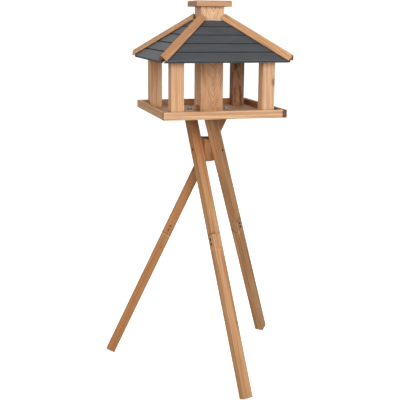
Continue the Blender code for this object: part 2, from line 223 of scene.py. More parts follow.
def closed_mesh(name, rings, flat_steps=()):
    """Joins rings of points into a tube of four-sided faces and closes both its ends with one flat face
    each. The bands in flat_steps are shoulders, shaded flat like the ends."""
    bands, steps = len(rings) - 1, rings.shape[1]
    ring, step = np.meshgrid(np.arange(bands), np.arange(steps), indexing="ij")
    ahead = (step + 1) % steps
    quads = [ring * steps + step, ring * steps + ahead, (ring + 1) * steps + ahead, (ring + 1) * steps + step]
    quads = np.stack(quads, 2).reshape(-1, 4)
    faces = quads.tolist()
    faces.append(np.arange(steps)[::-1].tolist())
    faces.append((bands * steps + np.arange(steps)).tolist())
    mesh = bpy.data.meshes.new(name)
    mesh.from_pydata(rings.reshape(-1, 3), [], faces)
    smooth = np.ones(len(faces), bool)
    smooth[-2:] = False
    for band in flat_steps:
        smooth[band * steps : (band + 1) * steps] = False
    mesh.polygons.foreach_set("use_smooth", smooth)
    mesh.update()
    return mesh


def finished(node, mesh, material):
    """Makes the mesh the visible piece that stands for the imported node."""
    obj = bpy.data.objects.new(mesh.name, mesh)
    bpy.context.scene.collection.objects.link(obj)
    mesh.materials.append(material)
    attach(obj, body_of(node))
    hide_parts(node)
    return obj


def grained(
    mesh, grain_axes, heart, lean=(0.0, 0.0), tone=0.5, knots=(), origin=(0, 0, 0), crease=0.0, centre=0.0,
    ends=1.0, coarse=1.0,
):
    """Stores where each point sits in the tree that the piece was sawn from. heart is the place of the
    tree's heart beside the piece's middle, and lean is how far it moves sideways for each metre along the
    grain. crease draws the year rings to points on the face, by that much for each metre from the line at
    centre: the root of the distance squared plus a small square, so the point is blunt. A knot is
    (through, across, along, radius): it runs in from both faces of direction 0 or 1 of the grain axes and
    tapers away twice as deep as its radius. tone runs from pale at 0 through honey and brown to a dark,
    flamed brown at 3, and a pair of tones fades from the low end to the high one. On the back and right
    rails, the silo's front board and the front upper leg the tone's darkening is painted shade. ends is
    how strongly the end grain darkens: it shortens the stored direction of the fibres. A coarse piece has
    grown faster: its rings are that many times wider."""
    flat = np.empty(len(mesh.vertices) * 3, np.float32)
    mesh.vertices.foreach_get("co", flat)
    local = (flat.reshape(-1, 3) - np.asarray(origin)) @ grain_axes.T
    tree = local.copy()
    tree[:, 0] += lean[0] * local[:, 2] - heart[0]
    tree[:, 1] += lean[1] * local[:, 2] - heart[1]
    tree[:, 1] += crease * np.sqrt((local[:, 0] - centre) ** 2 + 0.003**2)
    tree = tree / coarse
    tree[:, 2] += rng.uniform(1, 9)
    store(mesh, "tree", "FLOAT_VECTOR", tree)
    store(mesh, "fibre", "FLOAT_VECTOR", np.broadcast_to(grain_axes[2] * ends, tree.shape))
    ends_of_grain = local[:, 2].min(), local[:, 2].max()
    store(mesh, "tone", "FLOAT", np.interp(local[:, 2], ends_of_grain, np.broadcast_to(tone, 2)))
    for name, knot in zip(("knot_a", "knot_b"), (*knots, None, None)):
        away = np.full_like(local, 50.0)
        if knot is not None:
            through, across, along, radius = knot
            away = np.empty_like(local)
            depth = np.abs(local[:, through]).max() - np.abs(local[:, through])
            away[:, through] = depth / (2 * radius)
            away[:, 1 - through] = (local[:, 1 - through] - across) / radius
            away[:, 2] = (local[:, 2] - along) / (1.5 * radius)
        store(mesh, name, "FLOAT_VECTOR", away)


def timber(node, name, directions, material, slot, radius=ARRIS, spacing=0.012, flats=5, **grain):
    """A square-cut timber or board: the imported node's own box along the given directions, softened."""
    origin = middle(node)
    local = points_of(node, directions, origin)
    low, high = local.min(0), local.max(0)
    outline = softened(rectangle(low[:2], high[:2]), radius, flats)
    rings = carried(outline, level_ends(low[2], high[2]), END_ARRIS, spacing)
    mesh = closed_mesh(name, rings @ directions + origin)
    grained(mesh, directions, origin=origin, **grain)
    return finished(node, mesh, material)


# ---------------------------------------------------------------- materials


class Recipe:
    """A material's nodes, added one by one."""

    def __init__(self, name):
        self.material = bpy.data.materials.new(name)
        self.material.use_nodes = True
        self.tree = self.material.node_tree
        self.shader = self.tree.nodes["Principled BSDF"]

    def node(self, kind, inputs=(), **settings):
        made = self.tree.nodes.new("ShaderNode" + kind)
        for key, value in settings.items():
            setattr(made, key, value)
        for key, value in dict(inputs).items():
            if isinstance(value, bpy.types.NodeSocket):
                self.tree.links.new(value, made.inputs[key])
            else:
                made.inputs[key].default_value = value
        return made

    def stored(self, name):
        return self.node("Attribute", attribute_name=name)

    def math(self, operation, a, b=0.0, c=0.0, clamp=False):
        return self.node("Math", {0: a, 1: b, 2: c}, operation=operation, use_clamp=clamp).outputs[0]

    def vector(self, operation, a, b=(0, 0, 0)):
        made = self.node("VectorMath", {0: a, 1: b}, operation=operation)
        return made.outputs["Value" if operation in ("LENGTH", "DOT_PRODUCT") else "Vector"]

    def noise(self, place, scale, detail=2.0, roughness=0.5):
        """Noise that is stretched differently in each direction, from 0 to 1."""
        scaled = self.vector("MULTIPLY", place, scale)
        inputs = {"Vector": scaled, "Scale": 1.0, "Detail": detail, "Roughness": roughness}
        return self.node("TexNoise", inputs)

    def between(self, value, low, high, to_low=0.0, to_high=1.0, smooth=True):
        kind = "SMOOTHSTEP" if smooth else "LINEAR"
        inputs = {"Value": value, "From Min": low, "From Max": high, "To Min": to_low, "To Max": to_high}
        return self.node("MapRange", inputs, interpolation_type=kind).outputs["Result"]

    def mix(self, share, a, b, blend="MIX"):
        inputs = {0: share, 6: a, 7: b}
        return self.node("Mix", inputs, data_type="RGBA", blend_type=blend).outputs[2]

    def ramp(self, value, stops):
        made = self.node("ValToRGB", {"Fac": value})
        elements = made.color_ramp.elements
        while len(elements) < len(stops):
            elements.new(0.5)
        for element, (place, colour) in zip(elements, stops):
            element.position = place
            element.color = (*colour, 1)
        return made.outputs["Color"]

    def set(self, socket, value):
        if isinstance(value, bpy.types.NodeSocket):
            self.tree.links.new(value, self.shader.inputs[socket])
        else:
            self.shader.inputs[socket].default_value = value

    def bump(self, height, distance, strength=1.0):
        inputs = {"Height": height, "Distance": distance, "Strength": strength}
        self.set("Normal", self.node("Bump", inputs).outputs["Normal"])


YEAR_WIDTH = 0.0031  # from one year ring to the next
RING_WANDER = 0.014  # how far the rings stray from circles
KNOT_PUSH = 0.009  # how far a knot pushes the rings aside


def wood(recipe, pale, late, deep, knot_colour):
    """The colour and the relief of sawn softwood. Year rings are shells round the heart of the tree, bent
    round the knots, each one pale in spring and darkening to a hard edge. Fibres and short resin lines
    run with the grain. Returns a colour, a height and the end grain's share."""
    tree = recipe.stored("tree").outputs["Vector"]
    wander = recipe.noise(tree, (14, 14, 2.4), 2.0).outputs["Color"]
    wander = recipe.vector("SUBTRACT", wander, (0.5, 0.5, 0.5))
    wander = recipe.vector("MULTIPLY", wander, (RING_WANDER, RING_WANDER, 0.0))
    flat = recipe.vector("MULTIPLY", recipe.vector("ADD", tree, wander), (1, 1, 0))

    ripple = recipe.noise(tree, (90, 90, 30), 2.0).outputs["Color"]
    ripple = recipe.vector("MULTIPLY", recipe.vector("SUBTRACT", ripple, (0.5, 0.5, 0.5)), (0.9, 0.9, 0.9))
    near = [
        recipe.vector("LENGTH", recipe.vector("ADD", recipe.stored(name).outputs["Vector"], ripple))
        for name in ("knot_a", "knot_b")
    ]
    knot = recipe.math("MINIMUM", *near)
    pushed = recipe.math("MULTIPLY", recipe.between(knot, 0.3, 3.2, 1.0, 0.0), KNOT_PUSH)

    heart_distance = recipe.math("ADD", recipe.vector("LENGTH", flat), pushed)
    years = recipe.math("DIVIDE", heart_distance, YEAR_WIDTH)
    season = recipe.math("FRACT", years)
    late_wood = recipe.ramp(
        season,
        [(0.0, (0.1,) * 3), (0.12, (0,) * 3), (0.55, (0.22,) * 3), (0.88, (1,) * 3), (1.0, (0.1,) * 3)],
    )
    whole_year = recipe.math("FLOOR", years)
    year_strength = recipe.node("TexWhiteNoise", {"W": whole_year}, noise_dimensions="1D").outputs["Value"]
    year_share = recipe.between(year_strength, 0, 1, 0.35, 0.95, smooth=False)
    late_share = recipe.math("MULTIPLY", late_wood, year_share)

    figure = recipe.noise(tree, (30, 30, 3.5), 3.0).outputs["Fac"]
    streak = recipe.noise(tree, (150, 150, 2.2), 2.0).outputs["Fac"]
    fibre = recipe.noise(tree, (620, 620, 11), 3.0, 0.6).outputs["Fac"]
    dashes = recipe.noise(tree, (1500, 1500, 55), 1.0).outputs["Fac"]

    # The stored tone darkens the wood towards deep and late, and past 2 in dark flames; on the back and right
    # rails, the silo's front board and the front upper leg this darkening is painted shade.
    tone = recipe.stored("tone").outputs["Fac"]
    base = recipe.mix(recipe.between(figure, 0.3, 0.72, 0.0, 0.55), pale, deep)
    base = recipe.mix(recipe.math("MULTIPLY", tone, 0.9), base, deep)
    base = recipe.mix(recipe.between(tone, 1.0, 2.0, 0.0, 0.8, smooth=False), base, late)
    base = recipe.mix(recipe.between(streak, 0.46, 0.64, 0.0, 0.7), base, late)
    base = recipe.mix(late_share, base, (0.66, 0.50, 0.37, 1), "MULTIPLY")
    base = recipe.mix(recipe.between(fibre, 0.3, 0.62, 0.34, 0.0), base, late)
    base = recipe.mix(recipe.between(dashes, 0.66, 0.78, 0.0, 0.45), base, knot_colour)

    halo = recipe.between(knot, 0.9, 2.3, 0.5, 0.0)
    base = recipe.mix(halo, base, late)
    knot_rings = recipe.math("SINE", recipe.math("MULTIPLY", knot, 17.0))
    core = recipe.mix(recipe.between(knot_rings, -1, 1, 0.3, 0.9), knot_colour, late)
    base = recipe.mix(recipe.between(knot, 0.92, 1.06, 1.0, 0.0), base, core)
    bark = recipe.math("MULTIPLY", recipe.between(knot, 0.8, 0.95), recipe.between(knot, 1.02, 1.2, 1.0, 0.0))
    base = recipe.mix(recipe.math("MULTIPLY", bark, 0.5), base, knot_colour)

    normal = recipe.node("NewGeometry").outputs["True Normal"]
    along = recipe.vector("DOT_PRODUCT", normal, recipe.stored("fibre").outputs["Vector"])
    end = recipe.between(recipe.math("ABSOLUTE", along), 0.6, 0.95)
    base = recipe.mix(recipe.math("MULTIPLY", end, 0.85), base, knot_colour)

    # Past tone 2 the wood darkens in flames towards a dark brown; on the back and right rails this is painted
    # shade.
    flame = recipe.noise(tree, (60, 60, 16), 3.0).outputs["Fac"]
    dark_flame_share = recipe.between(tone, 2.0, 3.0, smooth=False)
    dark_flames = recipe.math("MULTIPLY", dark_flame_share, recipe.between(flame, 0.42, 0.58, 0.3, 1.0))
    base = recipe.mix(dark_flames, base, (0.38, 0.25, 0.10, 1), "MULTIPLY")

    height = recipe.math("MULTIPLY_ADD", late_share, 0.5, fibre)
    return base, height, end


def pine(name, pale, late, deep, knot_colour, roughness):
    """Oiled softwood with a satin surface."""
    recipe = Recipe(name)
    colour, height, end = wood(recipe, pale, late, deep, knot_colour)
    recipe.set("Base Color", colour)
    polish = recipe.noise(recipe.stored("tree").outputs["Vector"], (60, 60, 8), 3.0).outputs["Fac"]
    polish = recipe.between(polish, 0.25, 0.75, roughness - 0.06, roughness + 0.1)
    recipe.set("Roughness", recipe.math("MULTIPLY_ADD", end, 0.18, polish))
    recipe.set("Specular IOR Level", 0.42)
    recipe.bump(height, 0.00022, 0.55)
    return recipe.material


PALE = (0.735, 0.475, 0.275, 1)
LATE = (0.44, 0.215, 0.095, 1)
DEEP = (0.60, 0.335, 0.165, 1)
KNOT = (0.13, 0.052, 0.022, 1)
RAW_PALE = (0.69, 0.63, 0.53, 1)
RAW_LATE = (0.52, 0.38, 0.25, 1)
RAW_DEEP = (0.62, 0.52, 0.40, 1)
LEG_PALE = (0.63, 0.375, 0.190, 1)
LEG_LATE = (0.33, 0.138, 0.048, 1)
LEG_DEEP = (0.46, 0.215, 0.080, 1)
PAINT_GREY = (0.042, 0.046, 0.053, 1)
PAINT_BRUSHED = (0.078, 0.083, 0.093, 1)
PAINT_CLOUD = (0.098, 0.104, 0.115, 1)
PAINT_DEEP = (0.04, 0.043, 0.05, 1)
# Near-black painted shade for the slots between roof boards.
GROOVE_SHADE = (0.006, 0.006, 0.007, 1)
honey_pine = pine("honey_oiled_pine", PALE, LATE, DEEP, KNOT, 0.5)
leg_pine = pine("amber_oiled_leg_pine", LEG_PALE, LEG_LATE, LEG_DEEP, KNOT, 0.5)


def painted_board_material():
    """Matt anthracite paint over softwood: brush lines and the raised year rings show through, and where the
    stored paint edge is passed the bare board shows."""
    recipe = Recipe("anthracite_paint_on_pine")
    bare_colour, height, end = wood(recipe, RAW_PALE, RAW_LATE, RAW_DEEP, KNOT)
    tree = recipe.stored("tree").outputs["Vector"]
    brush = recipe.noise(tree, (420, 420, 7), 3.0, 0.6).outputs["Fac"]
    cloud = recipe.noise(tree, (22, 22, 5), 3.0).outputs["Fac"]
    tone, joint = recipe.stored("tone").outputs["Fac"], recipe.stored("joint").outputs["Fac"]
    paint = recipe.mix(recipe.between(brush, 0.3, 0.7), PAINT_GREY, PAINT_BRUSHED)
    paint = recipe.mix(recipe.between(cloud, 0.35, 0.7, 0.0, 0.35), paint, PAINT_CLOUD)
    paint = recipe.mix(recipe.math("MULTIPLY", tone, 0.3), paint, PAINT_DEEP)
    # The slot and chamfers between boards are darkened nearly to black: painted shade in the groove.
    paint = recipe.mix(recipe.math("MULTIPLY", joint, 0.95), paint, GROOVE_SHADE)
    ragged = recipe.noise(tree, (300, 300, 60), 2.0).outputs["Fac"]
    edge = recipe.math("MULTIPLY_ADD", ragged, 0.0022, recipe.stored("paint_edge").outputs["Fac"])
    bare = recipe.between(edge, 0.0008, 0.0014)
    recipe.set("Base Color", recipe.mix(bare, paint, bare_colour))
    recipe.set("Roughness", recipe.between(bare, 0.0, 1.0, 0.46, 0.6))
    recipe.set("Specular IOR Level", 0.5)
    relief = recipe.math("MULTIPLY_ADD", brush, 0.6, height)
    recipe.bump(relief, 0.00025, 0.6)
    return recipe.material


painted_pine = painted_board_material()


def steel(name, colour, roughness):
    """Zinc-plated steel: a cloudy passivated sheen with fine turning marks."""
    recipe = Recipe(name)
    place = recipe.node("TexCoord").outputs["Object"]
    cloud = recipe.noise(place, (260, 260, 260), 4.0).outputs["Fac"]
    scratch = recipe.noise(place, (2600, 2600, 2600), 2.0).outputs["Fac"]
    dull = tuple(0.5 * c for c in colour)
    shade = recipe.mix(recipe.between(cloud, 0.35, 0.68), (*colour, 1), (*dull, 1))
    recipe.set("Base Color", shade)
    recipe.set("Metallic", 1.0)
    recipe.set("Roughness", recipe.between(scratch, 0.3, 0.7, roughness - 0.08, roughness + 0.14))
    recipe.bump(scratch, 0.00004, 0.5)
    return recipe.material


bright_zinc = steel("bright_zinc", (0.52, 0.51, 0.49), 0.34)
dark_zinc = steel("browned_zinc", (0.055, 0.040, 0.032), 0.5)


# ---------------------------------------------------------------- tray

ALONG_X = axes(Y, Z)  # grain along X
ALONG_Y = axes(Z, X)  # grain along Y
ALONG_Z = axes(X, Y)  # grain along Z

RAIL_HEARTS = {"front": (-0.05, -0.03), "right": (0.03, 0.06), "back": (0.05, -0.02), "left": (-0.04, 0.05)}
# The back and right rails' high tones are painted shade for their inner faces, which lie in shade; they
# darken the whole rail.
RAIL_TONE_AND_SHADE = {"front": 0.15, "right": 2.5, "back": 2.4, "left": 0.4}
for side in SIDES:
    directions = ALONG_X if side in ("front", "back") else ALONG_Y
    knots = {"back": [(0, 0.004, 0.11, 0.005)], "right": [(1, 0.006, -0.07, 0.004)]}.get(side, ())
    timber(
        f"tray_rail_{side}", f"planed_rail_{side}", directions, honey_pine, "oiled_pine", ARRIS, 0.014,
        heart=RAIL_HEARTS[side], lean=(0.02, 0.015), tone=RAIL_TONE_AND_SHADE[side], knots=knots,
    )


def sheet_floor():
    """The tray's thin floor: a square carried up through its thickness, with the figure of one wide
    sheet."""
    origin = middle("tray_floor")
    local = points_of("tray_floor", ALONG_Z, origin)
    low, high = local.min(0), local.max(0)
    outline = softened(rectangle(low[:2], high[:2]), FINE_ARRIS, 24)
    rings = carried(outline, level_ends(low[2], high[2]), 0.0006, 0.002)
    mesh = closed_mesh("sheet_floor", rings @ ALONG_Z + origin)
    knots = [(1, 0.12, -0.13, 0.006), (1, -0.09, 0.09, 0.005)]
    grained(mesh, ALONG_X, (0.03, -0.045), (0.05, 0.02), 0.1, knots, origin)
    return finished("tray_floor", mesh, honey_pine)


sheet_floor()


# ---------------------------------------------------------------- posts, plates, silo and lid

POST_GRAIN = {
    "front_left": dict(heart=(0.06, -0.05), lean=(0.02, -0.01), tone=(0.1, 0.7)),
    "front_right": dict(
        heart=(-0.05, 0.035), lean=(0.03, 0.02), tone=0.0, knots=[(1, 0.0190, 0.017, 0.0070)]
    ),
    "back_right": dict(
        heart=(-0.010, -0.022), lean=(0.13, 0.10), tone=3.6, crease=0.5,
        knots=[(1, -0.013, 0.052, 0.006), (0, 0.006, -0.03, 0.006)],
    ),
    "back_left": dict(heart=(-0.04, -0.05), lean=(-0.02, 0.02), tone=0.3),
}
for corner in CORNERS:
    timber(
        f"post_{corner}", f"planed_post_{corner}", ALONG_Z, honey_pine, "oiled_pine", ARRIS, 0.008,
        **POST_GRAIN[corner],
    )
for side in ("front", "back"):
    timber(
        f"post_plate_{side}", f"planed_plate_{side}", ALONG_X, honey_pine, "oiled_pine",
        heart=(0.03, 0.05), lean=(0.01, 0.02), tone=0.4,
    )

SILO_GRAIN = {
    # The front board's tone fades from 1.1 at its foot to 0 at its top: painted shade, darker towards the
    # bottom.
    "front": dict(
        heart=(0.0, 0.15), lean=(0.01, 0.28), tone=(1.1, 0.0), crease=-0.66, centre=0.004, coarse=2.0
    ),
    "right": dict(heart=(-0.05, 0.01), lean=(0.12, 0.02), tone=0.35),
    "back": dict(heart=(0.0, -0.06), lean=(0.02, 0.12), tone=0.35, crease=-0.35, centre=-0.006),
    "left": dict(heart=(0.045, 0.0), lean=(0.05, 0.0), tone=0.05),
}
for side in SIDES:
    timber(
        f"silo_{side}_board", f"planed_silo_{side}", ALONG_Z, honey_pine, "oiled_pine", FINE_ARRIS, 0.008, 19,
        **SILO_GRAIN[side],
    )


def rounded_lid():
    """The lid board: a square carried up through its thickness, shrinking over the top in a quarter
    circle whose radius is the lid's rounding, and below by a small arris."""
    rounding, lower = 0.005, 0.001
    origin = middle("lid_board")
    local = points_of("lid_board", ALONG_Z, origin)
    low, high = local.min(0), local.max(0)
    points, _ = softened(rectangle(low[:2], high[:2]), 0.0022, 9)
    bend = np.linspace(0, 1, 7) * math.pi / 2
    small = np.linspace(0.2, 1, 4) * math.pi / 2
    inset = np.concatenate(
        [lower * (1 - np.sin(small)), [0, 0, 0], rounding * (1 - np.cos(bend)), [rounding + 0.0015]]
    )
    height = np.concatenate(
        [
            low[2] + lower * (1 - np.cos(small)),
            [low[2] + lower + WEAR_BAND, 0.0, high[2] - rounding - 0.0006],
            high[2] - rounding + rounding * np.sin(bend),
            [high[2]],
        ]
    )
    shrink = (high[0] - inset) / high[0]
    section = points[None] * shrink[:, None, None]
    rings = np.concatenate([section, np.broadcast_to(height[:, None, None], (*section.shape[:2], 1))], 2)
    mesh = closed_mesh("rounded_lid", rings @ ALONG_Z + origin)
    grained(mesh, ALONG_X, (-0.012, -0.05), (0.02, 0.10), 1.7, [(1, 0.02, -0.035, 0.0045)], origin, ends=0.7)
    return finished("lid_board", mesh, honey_pine)


rounded_lid()
timber("lid_plug", "lid_plug_block", ALONG_X, honey_pine, "oiled_pine", heart=(0.03, 0.03), tone=0.3)


# ---------------------------------------------------------------- roof

COS_PITCH, SIN_PITCH = math.cos(ROOF_PITCH), math.sin(ROOF_PITCH)
ROOF_RUN = (ROOF_OUTER - ROOF_INNER) / COS_PITCH
COURSE = ROOF_RUN / COURSES
EAVE_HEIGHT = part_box("roof_front_board_1")[1].z - (COURSE - GAP) * SIN_PITCH


def roof_outline(course):
    """A roof board's end view: distance up the slope, and height square to it, with the upper surface at
    zero. At a joint the board keeps its full width only below, as tongue and groove do, and above that it
    is cut back and chamfered, so that a narrow dark slot shows. The top board is cut upright at the
    silo."""
    low, high = course * COURSE + GAP / 2, (course + 1) * COURSE - GAP / 2
    corners, radii = [(low, -ROOF_BOARD)], [FINE_ARRIS]
    upright = ROOF_RUN - ROOF_BOARD * SIN_PITCH / COS_PITCH
    if course == COURSES - 1:
        corners += [(upright, -ROOF_BOARD), (ROOF_RUN, 0)]
        radii += [FINE_ARRIS, FINE_ARRIS]
    else:
        cut = high - SLOT_HALF
        corners += [(high, -ROOF_BOARD), (high, -SLOT_DEPTH), (cut, -SLOT_DEPTH)]
        corners += [(cut, -JOINT_CHAMFER), (cut + SLOT_HALF - JOINT_CHAMFER, 0)]
        radii += [0.0004, 0.0002, 0.0002, 0.0006, 0.0009]
    if course == 0:
        corners += [(low, 0)]
        radii += [0.0020]
        radii[0] = 0.0014
    else:
        cut = low + SLOT_HALF
        corners += [(cut - SLOT_HALF + JOINT_CHAMFER, 0), (cut, -JOINT_CHAMFER)]
        corners += [(cut, -SLOT_DEPTH), (low, -SLOT_DEPTH)]
        radii += [0.0009, 0.0006, 0.0002, 0.0002]
    return softened(corners, radii, 7)


def hip_ends(course):
    """Both ends of a roof board are cut on the upright plane through the hip, where the distance sideways
    equals the distance out from the silo's axis; the eave's corners are cut again, square to the
    diagonal."""

    def ends(up_slope, height):
        out = ROOF_OUTER - up_slope * COS_PITCH + height * SIN_PITCH
        reach = out - GAP * math.sqrt(2)
        if course == 0:
            reach = np.minimum(reach, 2 * ROOF_OUTER - EAVE_CORNER_CUT * math.sqrt(2) - out)
        return -reach, reach

    return ends


def roof_board(side, index, course):
    directions = np.array([[0, COS_PITCH, SIN_PITCH], [0, -SIN_PITCH, COS_PITCH], [1, 0, 0]], float)
    directions = directions @ quarter_turns(index).T
    eave = SILO_AXIS + quarter_turns(index) @ (0, -ROOF_OUTER, EAVE_HEIGHT)
    rings = carried(roof_outline(course), hip_ends(course), 0.0006, 0.012)
    mesh = closed_mesh(f"painted_board_{side}_{course + 1}", rings @ directions + eave)
    centre = eave + (course + 0.5) * COURSE * directions[0] - ROOF_BOARD / 2 * directions[1]
    heart = (rng.uniform(-0.02, 0.02), -rng.uniform(0.012, 0.04))
    grained(mesh, directions, heart, (0.01, rng.uniform(-0.06, 0.06)), rng.uniform(0, 1), (), centre)
    up_slope, height = rings[:, :, 0].ravel(), rings[:, :, 1].ravel()
    below = -(ROOF_BOARD - 0.0012) - height
    joint = np.minimum(up_slope - course * COURSE, (course + 1) * COURSE - up_slope)
    # The eave and the top edge aren't joints, so the distance there is made too large for the painted groove
    # shade to darken them.
    joint = joint + 1.0 * (up_slope > ROOF_RUN - COURSE / 2) + 1.0 * (up_slope < COURSE / 2)
    # joint is the share of painted shade in the slot and its chamfers.
    store(mesh, "joint", "FLOAT", np.clip((JOINT_CHAMFER + 0.0006 - joint) / 0.0008, 0, 1))
    above = up_slope - (ROOF_RUN - BARE_STRIP)
    store(mesh, "paint_edge", "FLOAT", np.maximum(np.clip(below, -0.004, 0.004), np.clip(above, -0.01, 0.01)))
    node = f"roof_{side}_board_{course + 1}"
    return finished(node, mesh, painted_pine)


for index, side in enumerate(SIDES):
    for course in range(COURSES):
        roof_board(side, index, course)


HIP_TONES = {"front_left": 1.5, "front_right": 1.0, "back_right": 0.4, "back_left": 0.8}


def hip_cap(corner, index):
    """A right-angled moulding carried up the hip: an L with a softened nose and legs, cut square at both
    ends."""
    slope = math.atan(math.tan(ROOF_PITCH) / math.sqrt(2))
    away = quarter_turns(index) @ unit((-1, -1, 0))
    up_hip = -away * math.cos(slope) + UP * math.sin(slope)
    square = away * math.sin(slope) + UP * math.cos(slope)
    directions = np.array([np.cross(square, up_hip), square, up_hip])
    node = f"hip_cap_{corner}"
    local = points_of(node, directions, SILO_AXIS)
    low, high = local.min(0), local.max(0)
    apex = np.array([(low[0] + high[0]) / 2, high[1]])
    half = HIP_THICKNESS / math.sqrt(2)
    reach = HIP_LEG / math.sqrt(2)
    corners = [(0, 0), (-reach, -reach), (half - reach, -reach - half), (0, -2 * half)]
    corners += [(reach - half, -reach - half), (reach, -reach)]
    radii = [0.0022, 0.0012, 0.0007, 0.0006, 0.0007, 0.0012]
    outline = softened(np.array(corners) + apex, radii, 4)
    rings = carried(outline, level_ends(low[2], high[2]), 0.0008, 0.010)
    mesh = closed_mesh(f"hip_moulding_{corner}", rings @ directions + SILO_AXIS)
    origin = SILO_AXIS + np.array([*apex, (low[2] + high[2]) / 2]) @ directions
    grained(mesh, directions, (rng.uniform(-0.03, 0.03), -0.03), (0.02, 0.03), HIP_TONES[corner], (), origin)
    return finished(node, mesh, honey_pine)


for index, corner in enumerate(CORNERS):
    hip_cap(corner, index)


# ---------------------------------------------------------------- tripod


def leg_directions(leg):
    """Rows out of the leg's outer face, in the leg's plane, and up the leg."""
    turn = math.radians(LEG_HEADINGS[leg] - 90)
    out = np.array([math.cos(turn), math.sin(turn), 0])
    level = np.array([-math.sin(turn), math.cos(turn), 0])
    up = -level * math.sin(LEG_TILT) + UP * math.cos(LEG_TILT)
    return np.array([out, np.cross(up, out), up])


def leg_half(leg, half, **grain):
    """A leg half: a square carried up the leg. Past its shoulder it steps in to half its thickness for
    the lap. The foot is cut square, and the top level, for the tray."""
    directions = leg_directions(leg)
    origin = SILO_AXIS + UP * HUB_LEVEL
    node = f"leg_{leg}_{half}"
    local = points_of(node, directions, origin)
    low, high = local.min(0), local.max(0)
    upper = half == "upper"
    full_face = local[:, 0] > high[0] - 1e-5 if upper else local[:, 0] < low[0] + 1e-5
    face = local[full_face][:, 2]
    shoulder = face.min() if upper else face.max()
    mid = (low[0] + high[0]) / 2
    lap = (low[:2], (mid - GAP / 2, high[1])) if upper else ((mid + GAP / 2, low[1]), high[:2])
    whole, whole_out = softened(rectangle(low[:2], high[:2]), ARRIS, 5)
    tongue, tongue_out = softened(rectangle(*lap), ARRIS, 5)
    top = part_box(node)[1].z

    def under_the_tray(x, y):
        """From the shoulder up to the level plane of the leg's top: height over the leg's own rise per
        metre."""
        return np.full_like(x, shoulder), (top - origin[2] - y * directions[1][2]) / directions[2][2]

    if upper:
        body = carried((whole, whole_out), under_the_tray, END_ARRIS, 0.011)
        stub = carried((tongue, tongue_out), level_ends(low[2], shoulder), END_ARRIS, 0.011)
    else:
        body = carried((whole, whole_out), level_ends(low[2], shoulder), END_ARRIS, 0.011)
        stub = carried((tongue, tongue_out), level_ends(shoulder, high[2]), END_ARRIS, 0.011)
    rounded = ARC_STEPS + 1  # rings of a softened end, which the shoulder doesn't have
    if upper:
        inner = np.concatenate([stub[:-rounded], with_height(stub[-1:], tongue, shoulder)])
        rings = np.concatenate([inner, with_height(body[:1], whole, shoulder), body[rounded:]])
    else:
        inner = np.concatenate([body[:-rounded], with_height(body[-1:], whole, shoulder)])
        rings = np.concatenate([inner, with_height(stub[:1], tongue, shoulder), stub[rounded:]])
    mesh = closed_mesh(f"planed_leg_{leg}_{half}", rings @ directions + origin, [len(inner) - 1])
    centre = origin + ((low + high) / 2) @ directions
    grained(mesh, directions, origin=centre, **grain)
    return finished(node, mesh, leg_pine)


def with_height(ring, outline, height):
    """One ring of a piece: the outline itself, level at that height."""
    made = ring.copy()
    made[0, :, :2] = outline
    made[0, :, 2] = height
    return made


LEG_GRAIN = {
    # The front upper leg's tone rises from its lower end to its top: painted shade under the tray.
    ("front", "upper"): dict(heart=(0.03, 0.05), lean=(0.006, 0.01), tone=(-0.6, 1.9)),
    ("front", "lower"): dict(
        heart=(-0.04, 0.03), lean=(0.01, 0.012), tone=(0.5, 0.1), knots=[(1, -0.0135, -0.03, 0.003)]
    ),
    ("right", "upper"): dict(
        heart=(0.05, -0.03), lean=(0.01, 0.008), tone=0.3, knots=[(1, -0.011, -0.25, 0.0035)]
    ),
    ("right", "lower"): dict(heart=(0.02, 0.05), lean=(0.012, 0.006), tone=0.0),
    ("left", "upper"): dict(heart=(-0.03, -0.05), lean=(0.008, 0.01), tone=1.2),
    ("left", "lower"): dict(
        heart=(0.05, 0.02), lean=(0.01, 0.01), tone=1.3, knots=[(0, -0.005, 0.18, 0.003)]
    ),
}
for (leg, half), grain in LEG_GRAIN.items():
    leg_half(leg, half, **grain)


def hub_block():
    """The hub: a three-sided block with blunted corners, each face and each blunt corner a straight line
    at its own distance from the axis, carried up through its height."""
    turns = np.radians([LEG_HEADINGS["front"] - 90 + 60 * k for k in range(6)])
    distance = np.array([HUB_INRADIUS, HUB_CORNER] * 3)
    face = np.stack([np.cos(turns), np.sin(turns)], 1)
    following, next_distance = np.roll(face, -1, 0), np.roll(distance, -1)
    cross = face[:, 0] * following[:, 1] - face[:, 1] * following[:, 0]
    x = (distance * following[:, 1] - next_distance * face[:, 1]) / cross
    y = (next_distance * face[:, 0] - distance * following[:, 0]) / cross
    low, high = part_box("hub_block")
    outline = softened(np.stack([x, y], 1), 0.0035, 5)
    rings = carried(outline, level_ends(low.z - HUB_LEVEL, high.z - HUB_LEVEL), 0.0012, 0.008)
    origin = SILO_AXIS + UP * HUB_LEVEL
    mesh = closed_mesh("shaped_hub", rings @ ALONG_Z + origin)
    grained(mesh, ALONG_Z, (0.012, -0.035), (0.03, 0.08), 2.2, (), origin)
    return finished("hub_block", mesh, leg_pine)


hub_block()


# ---------------------------------------------------------------- fasteners

TURN_STEPS = 48
HEX = math.pi / 3


def turned(profile, faceted=None):
    """A profile of (radius, height) carried round an axis. Where faceted is above zero the circle becomes
    a hexagon: its radius is divided by the cosine of the angle from the middle of the nearest flat.
    Returns rings."""
    profile = np.asarray(profile, float)
    faceted = np.zeros(len(profile)) if faceted is None else np.asarray(faceted, float)
    angle = np.linspace(0, 2 * math.pi, TURN_STEPS, endpoint=False)
    flat = 1 / np.cos(angle % HEX - HEX / 2)
    radius = profile[:, :1] * (1 + faceted[:, None] * (flat - 1))
    height = np.broadcast_to(profile[:, 1:], radius.shape)
    return np.stack([radius * np.cos(angle), radius * np.sin(angle), height], 2)


def bolt_frame(leg):
    """Rows whose third runs out of the leg's outer face."""
    out, level, up = leg_directions(leg)
    return np.array([level, up, out])


